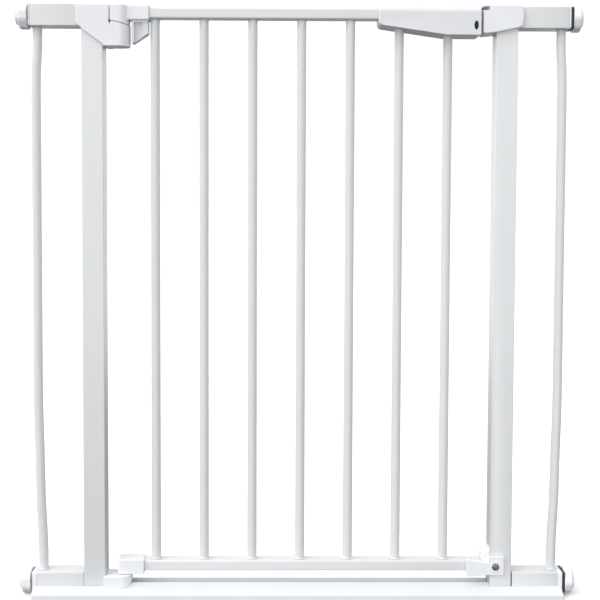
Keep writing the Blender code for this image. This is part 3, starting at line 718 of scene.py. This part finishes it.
def hand_nut(side, z, low, high):
    """An octagonal knob, its larger rounding on the wall side."""
    flat, reach = 16.55, 17.22   # from the axis to a flat and to a cut-back tip
    turn = 0.0 if side < 0 else math.pi / 8
    tips = [reach_at(flat, reach, k, turn) for k in range(16)]
    outline = fillet([(u, z + v) for u, v in tips], 2.2, 4, 0.2)
    wall, gate = 2.6, 1.0   # rounding at either end
    body = soft(outline, "X", low, high, *((gate, wall) if side > 0 else (wall, gate)))
    return cut(body, bore(z, low - 5, high + 5))


def reach_at(flat, reach, k, turn):
    """Corners of an octagon whose tips are cut back to a reach; two points per tip."""
    tip, side_of_tip = divmod(k, 2)
    middle = turn + math.pi / 8 + tip * math.pi / 4
    spread = math.pi / 8 - math.acos(flat / reach)
    a = middle + (spread if side_of_tip else -spread)
    return reach * math.cos(a), reach * math.sin(a)


def wall_pad(side, z, low, high):
    """A round pad with three ring grooves in the face that meets the wall."""
    body = soft(circle(PAD_R, (0.0, z)), "X", low, high, 0.6)
    outer = high if side > 0 else low
    deep, half_wide = 0.4, 0.45
    for radius in (4.0, 6.5, 9.0):
        a, b = sorted((outer - side * deep, outer + side * 2.0))
        groove = tube(circle(radius + half_wide, (0.0, z)), circle(radius - half_wide, (0.0, z)),
                      "X", a, b)
        body = cut(body, groove)
    return body


# --- hinge -------------------------------------------------------------------------------------
def wells(side):
    """The room that a post and its top extension tube take inside a housing."""
    low, high = span(POST_IN - GAP, POST_OUT + 0.1, side)
    depth = POST_DEPTH + GAP
    well = box((low, -depth, BELOW_TOP), (high, depth, POST_HIGH + GAP))
    low, high = span(POST_OUT - 0.2, POST_OUT + 40.0, side)
    return well, box((low, -depth, BELOW_TOP), (high, 60.0, 820.0))


def barrel_outline(left, radius, front, steps=18):
    """Flat to the front left, elliptical to the front right, round at the back."""
    quarter = [math.pi / 2 * k / steps for k in range(steps + 1)]
    points = [(left, -front), (left + 0.5, -front)]
    points += [(AXIS_X + radius * math.sin(a), -front * math.cos(a)) for a in quarter]
    points += [(AXIS_X + radius * math.cos(a), radius * math.sin(a)) for a in quarter[1:]]
    return points


def make_hinge_housing():
    corners = [(HOUSING_LEFT, HOUSING_TOP), (HOUSING_LEFT, 742.4), (-280.4, 738.5),
               (-275.2, 733.2), (-248.6, HOUSING_LOW), (SPLIT, HOUSING_LOW), (SPLIT, HOUSING_TOP)]
    outline = fillet(corners, (1.6, 3.0, 4.0, 3.0, 2.5, 0.0, 0.8))
    casing = soft(outline, "Y", -BARREL_FRONT, 17.0, 1.1, 1.1)
    root = SPLIT - 8.0
    corners = barrel_outline(root, BARREL_R, BARREL_FRONT) + [(root, BARREL_R)]
    barrel = soft(corners, "Z", HOUSING_LOW, 765.0, 0.9, 0.0)
    barrel = slant(barrel, SEAM_Z - 0.55, True)
    notch = prism([(SPLIT - 1.2, 748.4), (SPLIT + 3.0, 747.6), (SPLIT + 1.6, 743.0),
                   (SPLIT - 0.6, 743.4)], "Y", -40.0, -4.0)
    body = cut(join(casing, barrel), *wells(-1), axis_bore(719.0, 790.0), notch)
    piece("hinge_casing", body, FITTING, "frame", "hinge_housing")
    pin = soft(circle(PIN_R, (AXIS_X, 0.0)), "Z", 724.0, 762.0, 0.6)
    piece("hinge_pivot", pin, PLATED, "riser", "hinge_pin")


def make_hinge_arm():
    outline = barrel_outline(AXIS_X - ARM_BARREL_R, ARM_BARREL_R, ARM_BARREL_FRONT)
    outline += [(AXIS_X - ARM_BARREL_R * math.sin(a), ARM_BARREL_R * math.cos(a)) for a in
                (math.radians(d) for d in range(5, 91, 5))]
    barrel = soft(outline, "Z", 725.0, 766.8, 0.0, 1.4)
    body = slant(barrel, SEAM_Z + 0.45, False)
    arm = soft(rounded(11.9, 9.4, 1.8, (0.0, 757.6)), "X", AXIS_X + 2.0, -193.4, 0.0, 0.9)
    body = cut(join(body, arm), axis_bore(720.0, 763.0),
               box((-210.4, -RAIL_DEPTH - GAP, 750.1), (-190.0, RAIL_DEPTH + GAP, 764.8)))
    piece("hinge_arm_shell", body, FITTING, "door", "hinge_arm")
    corners = [(-216.0, 747.9), (-216.0, 717.4), (-195.0, 731.4), (-195.0, 747.9)]
    catch = soft(fillet(corners, (0.4, 1.2, 1.0, 0.4)), "Y", -9.0, 9.0, 0.5)
    top, low = 745.6, 700.0
    recess = prism([(-212.8, top), (-212.8, low), (-202.2, low), (-202.2, top)],
                   "Y", -20.0, -3.5)
    slope = prism([(-202.6, top), (-202.6, low), (-190.0, low), (-190.0, top)],
                  "Y", -20.0, -7.6)
    piece("hold_open_rib", cut(catch, recess, slope), SHELL, "door", "hold_open_catch")


def make_lower_hinge():
    left, right = -253.6, AXIS_X + 12.0
    corners = [(left, -20.0), (right, -20.0), (right, 12.0), (left, 12.0)]
    outline = fillet(corners, (1.8, 12.0, 10.0, 1.0), 12)
    body = soft(outline, "Z", 7.0, 27.3, 0.0, 1.4)
    post = box((-300.0, -POST_DEPTH - GAP, -5.0), (-POST_IN + GAP, 40.0, 60.0))
    shift, step = GAP + 0.05, CROSSBAR_HALF + GAP
    crest, foot = ramp_height(step) + shift, SILL_LIP + shift
    ramp = [(-60.0, -5.0), (1.2 - SILL_DEPTH, foot), (-step - 1.0, crest), (step + 1.0, crest),
            (SILL_DEPTH - 1.2, foot), (60.0, -5.0)]
    body = cut(body, post, prism(ramp, "X", -290.0, -190.0), axis_bore(-5.0, 40.0))
    piece("lower_hinge_shoe", body, FITTING, "frame", "lower_hinge_bracket")
    left, right, half = -236.0, -201.7, 13.0
    corners = [(left, -half), (right, -half), (right, half), (left, half)]
    cap = soft(fillet(corners, (4.0, 0.8, 0.8, 4.0), 8), "Z", 27.9, 47.0, 1.0)
    cap = cut(cap, box((-214.3, -RAIL_DEPTH - GAP, 31.4), (-190.0, RAIL_DEPTH + GAP, 45.9)),
              axis_bore(20.0, 43.0))
    piece("lower_pivot_cap", cap, FITTING, "door", "pivot_cap")
    pin = soft(circle(PIN_R, (AXIS_X, 0.0)), "Z", 19.6, 42.6, 0.6)
    piece("lower_pivot", pin, PLATED, "door", "lower_pivot_pin")


# --- door --------------------------------------------------------------------------------------
def rail(heights, low, high):
    """A rail of the door, given its lowest and highest level and its ends."""
    centre = (0.0, (heights[0] + heights[1]) / 2)
    half = (heights[1] - heights[0]) / 2
    return tube(rounded(RAIL_DEPTH, half, RAIL_R, centre),
                rounded(RAIL_DEPTH - WALL, half - WALL, RAIL_INNER_R, centre), "X", low, high)


def make_door():
    piece("top_rail", rail(RAIL_TOP, -210.0, 200.0), STEEL, "door", "door_top_rail")
    piece("low_rail", rail(RAIL_LOW, -214.0, 239.4), STEEL, "door", "door_low_rail")
    low, high = RAIL_LOW[1] + GAP, RAIL_TOP[0] - GAP
    offsets = [distance for distance, _ in WELD]
    heights = [low + d for d in offsets] + [low + 60.0 * k for k in range(1, 11)]
    heights += [high - d for d in reversed(offsets)]
    for index in range(BAR_COUNT):
        x = BAR_FIRST + BAR_PITCH * index
        body = sweep([(x, 0.0, z) for z in heights], BAR_R)
        piece(f"upright_{index + 1}", body, STEEL, "door", f"door_bar_{index + 1}")
    centre, half = (0.0, sum(RAIL_LOW) / 2), 6.9
    face = soft(rounded(RAIL_DEPTH, half, RAIL_R, centre), "X", 239.6, 241.0, 0.4)
    nose = prism(rounded(RAIL_DEPTH - WALL - GAP, half - WALL - GAP, 0.8, centre),
                 "X", 230.4, 240.0)
    piece("rail_end_plug", join(face, nose), FITTING, "door", "door_rail_plug")


def make_handle():
    corners = [(HANDLE_START, HANDLE_TOP), (HANDLE_START, 742.7), (187.2, 730.3),
               (HANDLE_END, 730.2), (HANDLE_END, HANDLE_TOP)]
    front = prism(fillet(corners, (2.0, 6.5, 9.0, 1.6, 1.2), 8), "Y", -30.0, 30.0)
    depth_corners = [(-HANDLE_DEPTH, 700.0), (HANDLE_DEPTH, 700.0), (HANDLE_DEPTH, HANDLE_TOP),
                     (-HANDLE_DEPTH, HANDLE_TOP)]
    section = fillet(depth_corners, (0.0, 0.0, 7.5, 7.5), 12)
    body = combine(front, soft(section, "X", HANDLE_START, HANDLE_END, 1.6, 0.7, 6), "INTERSECT")
    travel = LATCH_TRAVEL + GAP
    window_room = oval(INDICATOR_SIZE[0] + 0.2, INDICATOR_SIZE[1] + 0.2, INDICATOR)
    body = cut(
        body,
        box((80.0, -RAIL_DEPTH - GAP, RAIL_TOP[0] - GAP),
            (200.3, RAIL_DEPTH + GAP, RAIL_TOP[1] + GAP)),
        box((BOLT_TAIL - travel, -BOLT_HALF - GAP, BOLT_LOW - GAP),
            (240.0, BOLT_HALF + GAP, BOLT_HIGH + GAP)),
        box((214.0 - travel, -3.3, BOLT_HIGH - 1.0), (220.3, 3.3, 790.0)),
        *[rod(BAR_R + 1.7, (BAR_FIRST + index * BAR_PITCH, 0.0), "Z", 700.0, RAIL_TOP[0])
          for index in (5, 6)],
        prism(window_room, "Y", -40.0, -HANDLE_DEPTH + 1.2),
        *[rod(SMALL_BORE, spot, "Y", 15.0, 40.0) for spot in HANDLE_SCREWS])
    piece("handle_shell", body, SHELL, "door", "handle")
    window = soft(oval(*INDICATOR_SIZE, INDICATOR), "Y", -HANDLE_DEPTH - 0.2,
                  -HANDLE_DEPTH + 0.9, 0.45, 0.0)
    piece("indicator_window", window, GREEN, "door", "lock_indicator")
    for index, spot in enumerate(HANDLE_SCREWS):
        body = screw(spot, HANDLE_DEPTH + 0.1, 1, *SMALL_SCREW, 5.0)
        piece(f"handle_fixing_{index + 1}", body, PLATED, "door", f"handle_screw_{index + 1}")


def make_latch():
    corners = [(BOLT_TAIL, -BOLT_HALF), (BOLT_NOSE - 4.0, -BOLT_HALF),
               (BOLT_NOSE, -BOLT_HALF + 2.5), (BOLT_NOSE, BOLT_HALF), (BOLT_TAIL, BOLT_HALF)]
    bolt = soft(fillet(corners, (0.4, 1.0, 0.8, 0.6, 0.4)), "Z", BOLT_LOW, BOLT_HIGH, 0.6)
    piece("latch_tongue", bolt, SHELL, "latch", "latch_bolt")
    corners = [(SLIDE_START, SLIDE_BASE), (199.0, 770.6), (206.7, 774.2), (214.5, 771.4),
               (SLIDE_END, 771.7), (SLIDE_END, SLIDE_BASE)]
    front = prism(fillet(corners, (0.6, 9.0, 4.0, 10.0, 1.6, 0.3), 10), "Y", -20.0, 20.0)
    section = fillet([(-9.5, SLIDE_BASE), (9.5, SLIDE_BASE), (6.4, 774.0), (-6.4, 774.0)],
                     (0.3, 0.3, 4.5, 4.5), 10)
    top = combine(front, soft(section, "X", SLIDE_START, SLIDE_END, 0.6, 0.8), "INTERSECT")
    body = join(top, box((214.0, -3.0, BOLT_HIGH + GAP), (220.0, 3.0, 768.0)))
    for k in range(4):   # grip grooves
        body = cut(body, rod(0.9, (217.0 + 3.6 * k, 771.9), "Y", -4.8, 4.8, 24))
    piece("thumb_button", body, SHELL, "latch", "thumb_slide")


def make_strike():
    corners = [(STRIKE_START, STRIKE_TOP), (285.0, STRIKE_TOP), (286.2, 756.0), (283.8, 740.9),
               (252.7, 734.2), (STRIKE_START, 731.9)]
    outline = fillet(corners, (1.2, 4.0, 22.0, 5.0, 8.0, 3.0), 8)
    outline = [(min(x, STRIKE_END), z) for x, z in outline]
    body = soft(outline, "Y", -STRIKE_DEPTH, STRIKE_DEPTH, 1.1, 1.1, 6)
    start, end, low, high = 228.0, 242.4, 761.6, 766.8
    slot = fillet([(start, low), (end, low), (end, high), (start, high)], (0, 2.0, 2.0, 0))
    body = cut(body, *wells(1),
               box((225.0, -BOLT_HALF - 0.6, BOLT_LOW - 1.2),
                   (BOLT_NOSE + 1.2, 40.0, BOLT_HIGH + 1.5)),
               prism(slot, "Y", -30.0, 14.0), rod(SMALL_BORE, STRIKE_SCREW, "Y", 10.0, 40.0))
    piece("strike_casing", body, FITTING, "frame", "strike_housing")
    body = screw(STRIKE_SCREW, STRIKE_DEPTH + 0.1, 1, *SMALL_SCREW, 4.2)
    piece("strike_fixing", body, PLATED, "frame", "strike_screw")


def make_lower_stop():
    front, face = 19.0, 10.7
    plate = [(220.8, 49.2), (220.8, 28.1), (249.0, 28.9), (269.4, 28.8), (269.4, 53.5),
             (249.4, 53.5), (249.4, 44.6)]
    body = soft(fillet(plate, (1.0, 1.0, 1.0, 1.6, 1.6, 1.2, 1.0)), "Y", -front, -face, 0.7, 0.3)
    left, right, base, hollow = 241.8, POST_IN - GAP, 54.3, 9.7
    block = [(left, 28.9), (right, 28.9), (right, base + hollow)]
    block += [(left + hollow * math.sin(a), base + hollow * (1 - math.cos(a)))
              for a in (math.radians(84 - 6 * k) for k in range(15))]
    body = join(body, prism(block, "Y", -14.0, 13.0))
    boss = soft(circle(7.4, STOP_SCREW), "Y", -front - 0.6, -front + 2.0, 0.4)
    body = join(body, boss)
    post = box((right, -POST_DEPTH - GAP, 0.0), (300.0, 40.0, 90.0))
    body = cut(body, post, rod(LARGE_BORE, STOP_SCREW, "Y", -40.0, 0.0),
               rod(5.4, STOP_SCREW, "Y", -40.0, -front + 0.1))
    piece("door_stop", body, FITTING, "frame", "lower_stop")
    body = screw(STOP_SCREW, -front, -1, *LARGE_SCREW, 7.0)
    # the stop screw takes the darker zinc copy: painted shade on the recessed screw
    piece("door_stop_fixing", body, DARK, "frame", "stop_screw")


# --- set ---------------------------------------------------------------------------------------
def make_set():
    """A wide pale floor; it takes the gate's shadow but throws back and blocks no light."""
    g = Graph("pale_floor")
    cloud = g.span(g.noise(1.5, 3.0, 0.5), 0.3, 0.7, 0.0, 1.0)
    g.colour(g.blend(cloud, (0.93, 0.93, 0.93), (0.95, 0.95, 0.95)))
    g.roughness(g.span(g.noise(6.0, 3.0, 0.5), 0.3, 0.7, 0.7, 0.85))
    g.fixed(Emission_Color=(1.0, 1.0, 1.0, 1.0), Emission_Strength=FLOOR_GLOW)
    mesh = bpy.data.meshes.new("floor")
    size = FLOOR_SIZE
    mesh.from_pydata([(-size, -size, 0.0), (size, -size, 0.0), (size, size, 0.0),
                      (-size, size, 0.0)], [], [(0, 1, 2, 3)])
    mesh.materials.append(g.mat)
    floor = bpy.data.objects.new("floor", mesh)
    floor.visible_diffuse = floor.visible_glossy = floor.visible_shadow = False
    bpy.context.scene.collection.objects.link(floor)


def make_world():
    """White around the horizon, softer above, dim below and darker on the latch side."""
    world = bpy.data.worlds.new("studio")
    bpy.context.scene.world = world
    world.use_nodes = True
    tree = world.node_tree
    where = tree.nodes.new("ShaderNodeTexCoord")
    split = tree.nodes.new("ShaderNodeSeparateXYZ")
    tree.links.new(where.outputs["Generated"], split.inputs["Vector"])
    ramp = tree.nodes.new("ShaderNodeValToRGB")
    ramp.color_ramp.interpolation = "EASE"
    height = tree.nodes.new("ShaderNodeMapRange")
    for socket, value in (("From Min", -1.0), ("From Max", 1.0)):
        height.inputs[socket].default_value = value
    tree.links.new(split.outputs["Z"], height.inputs["Value"])
    tree.links.new(height.outputs["Result"], ramp.inputs["Fac"])
    stops = ((0.0, PIT), (0.385, PIT), (0.445, BELT), (0.68, BELT), (0.78, SKY), (1.0, SKY))
    dots = ramp.color_ramp.elements
    while len(dots) < len(stops):
        dots.new(0.5)
    for dot, (spot, _) in zip(dots, stops):
        dot.position = spot
    for dot, (_, value) in zip(dots, stops):
        dot.color = (value, value, value * 1.01, 1.0)
    tree.links.new(ramp.outputs["Color"], tree.nodes["Background"].inputs["Color"])
    side = tree.nodes.new("ShaderNodeMapRange")
    for socket, value in (("From Min", 0.3), ("From Max", 0.8), ("To Min", 1.0),
                          ("To Max", SHADE_SIDE)):
        side.inputs[socket].default_value = value
    tree.links.new(split.outputs["X"], side.inputs["Value"])
    tree.links.new(side.outputs["Result"], tree.nodes["Background"].inputs["Strength"])


def make_sun(name, way, strength, angle, colour):
    """A sun whose light comes from the direction way, angle degrees wide."""
    data = bpy.data.lights.new(name, "SUN")
    data.energy, data.angle, data.color = strength, math.radians(angle), colour
    lamp = bpy.data.objects.new(name, data)
    lamp.rotation_euler = Vector(way).to_track_quat("Z", "Y").to_euler()
    bpy.context.scene.collection.objects.link(lamp)


def make_lights():
    make_world()
    cool = (0.97, 0.985, 1.0)
    make_sun("key", (-0.65, -0.35, 0.67), 1.7, 55.0, cool)
    make_sun("fill", (0.0, -0.94, -0.34), 0.45, 45.0, cool)


def make_camera():
    data = bpy.data.cameras.new("camera")
    data.sensor_width, data.lens, data.shift_y = 36.0, 66.2, -0.0808
    camera = bpy.data.objects.new("camera", data)
    ahead = Vector((math.sin(YAW) * math.cos(PITCH), math.cos(YAW) * math.cos(PITCH),
                    -math.sin(PITCH)))
    right = ahead.cross(Vector((0, 0, 1))).normalized()
    up = right.cross(ahead)
    right, up = (right * math.cos(ROLL) + up * math.sin(ROLL),
                 up * math.cos(ROLL) - right * math.sin(ROLL))
    turned = Matrix((right, up, -ahead)).transposed().to_4x4()
    camera.matrix_world = Matrix.Translation(EYE) @ turned
    bpy.context.scene.collection.objects.link(camera)
    bpy.context.scene.camera = camera
    bpy.context.scene.view_settings.view_transform = "Standard"


make_posts()
make_base()
make_extensions()
make_tension_sets()
make_hinge_housing()
make_hinge_arm()
make_lower_hinge()
make_door()
make_handle()
make_latch()
make_strike()
make_lower_stop()
make_set()
make_lights()
make_camera()
